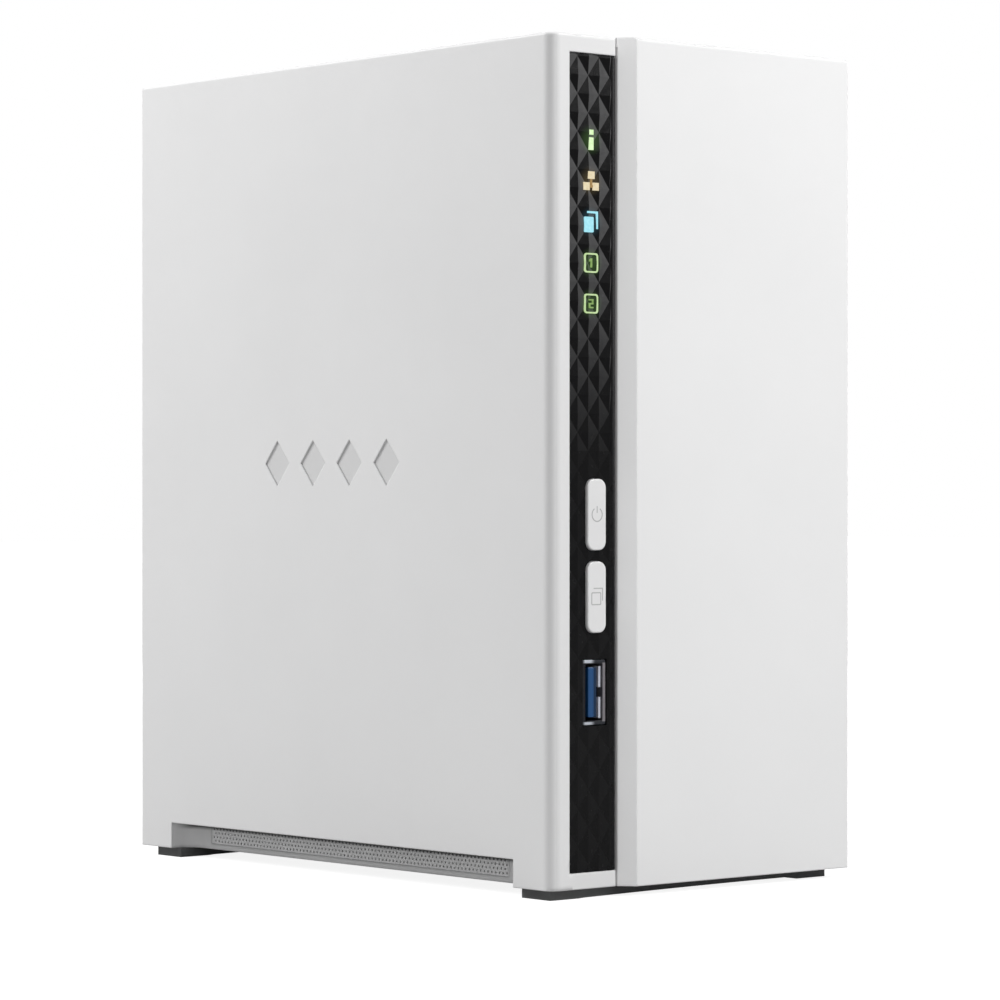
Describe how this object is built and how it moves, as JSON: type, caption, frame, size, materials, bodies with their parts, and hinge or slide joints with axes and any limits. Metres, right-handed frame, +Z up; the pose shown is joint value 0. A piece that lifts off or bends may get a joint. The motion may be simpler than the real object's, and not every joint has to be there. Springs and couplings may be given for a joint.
{
  "type": "network attached storage",
  "caption": "Upright desktop network storage box with a dark faceted front window, push buttons, front data socket, rear ports, cooling fan and a slide-off side cover.",
  "frame": {"origin": "on the surface it stands on, under the middle of the body", "axes": "+Z up, +Y towards the back with the ports, +X to the right seen from the front"},
  "size_m": [0.0896, 0.1554, 0.1896],
  "materials": {
    "shell_plastic": "fine satin grain",
    "rear_plastic": "fine satin grain",
    "grille_metal": "powder coat",
    "window_plastic": "polished, faceted",
    "light_pipe": "clear lens",
    "circuit_board": "solder mask",
    "led_body": "clear",
    "dark_plastic": "moulded",
    "button_plastic": "satin",
    "socket_metal": "nickel plated",
    "usb_blue": "moulded",
    "contact_gold": "gold plated",
    "screw_steel": "zinc plated",
    "heatsink_metal": "anodised",
    "cage_steel": "galvanised sheet",
    "drive_aluminium": "dark cast alloy",
    "tray_plastic": "moulded",
    "fan_plastic": "moulded",
    "mesh_plastic": "satin",
    "foot_rubber": "fine grain",
    "lead_plastic": "insulation",
    "connector_white": "nylon"
  },
  "bodies": {
    "chassis": {"main_shell": "shell_plastic", "rear_panel": "rear_plastic", "fan_grille": "grille_metal", "window_fascia": "window_plastic", "power_light_pipe": "light_pipe", "network_light_pipe": "light_pipe", "copy_light_pipe": "light_pipe", "drive_one_light_pipe": "light_pipe", "drive_two_light_pipe": "light_pipe", "control_board": "circuit_board", "indicator_leds": "led_body", "button_switches": "dark_plastic", "usb_front_shell": "socket_metal", "usb_front_tongue": "usb_blue", "usb_rear_shells": "socket_metal", "usb_rear_tongues": "dark_plastic", "mainboard": "circuit_board", "board_screws": "screw_steel", "processor_chip": "dark_plastic", "processor_heatsink": "heatsink_metal", "memory_and_network_chips": "dark_plastic", "coin_cell": "socket_metal", "coin_cell_holder": "dark_plastic", "power_capacitors": "heatsink_metal", "ethernet_socket": "socket_metal", "port_contacts": "contact_gold", "power_inlet": "dark_plastic", "power_inlet_pin": "socket_metal", "reset_switch": "dark_plastic", "drive_cage": "cage_steel", "backplane": "circuit_board", "board_standoffs": "contact_gold", "backplane_link": "dark_plastic", "backplane_sockets": "dark_plastic", "drive_plugs": "dark_plastic", "drive_one_casting": "drive_aluminium", "drive_one_lid": "cage_steel", "drive_one_board": "circuit_board", "drive_one_tray": "tray_plastic", "drive_two_casting": "drive_aluminium", "drive_two_lid": "cage_steel", "drive_two_board": "circuit_board", "drive_two_tray": "tray_plastic", "cage_and_tray_screws": "screw_steel", "fan_frame": "fan_plastic", "fan_screws": "screw_steel", "intake_mesh": "mesh_plastic", "front_foot": "foot_rubber", "rear_foot": "foot_rubber", "fan_lead": "lead_plastic", "fan_header": "connector_white", "rear_screws": "screw_steel"},
    "fan_rotor": {"fan_rotor": "fan_plastic"},
    "power_button": {"power_button": "button_plastic", "power_switch_plunger": "dark_plastic"},
    "copy_button": {"copy_button": "button_plastic", "copy_switch_plunger": "dark_plastic"},
    "reset_plunger": {"reset_plunger": "dark_plastic"},
    "case_cover": {"case_cover": "shell_plastic"}
  },
  "joints": [
    {"name": "cover_slide", "type": "slide", "parent": "chassis", "child": "case_cover", "axis": [0, -1, 0], "range_m": [0, 0.012]},
    {"name": "power_button_press", "type": "slide", "parent": "chassis", "child": "power_button", "axis": [0, 1, 0], "range_m": [0, 0.0009], "stiffness_N_per_m": 1200, "springref_m": -0.0005},
    {"name": "copy_button_press", "type": "slide", "parent": "chassis", "child": "copy_button", "axis": [0, 1, 0], "range_m": [0, 0.0009], "stiffness_N_per_m": 1200, "springref_m": -0.0005},
    {"name": "reset_press", "type": "slide", "parent": "chassis", "child": "reset_plunger", "axis": [0, -1, 0], "range_m": [0, 0.0004], "stiffness_N_per_m": 800, "springref_m": -0.0003},
    {"name": "fan_spin", "type": "hinge", "parent": "chassis", "child": "fan_rotor", "pos_m": [0.012, 0.0623, 0.12], "axis": [0, 1, 0], "continuous": true}
  ]
}
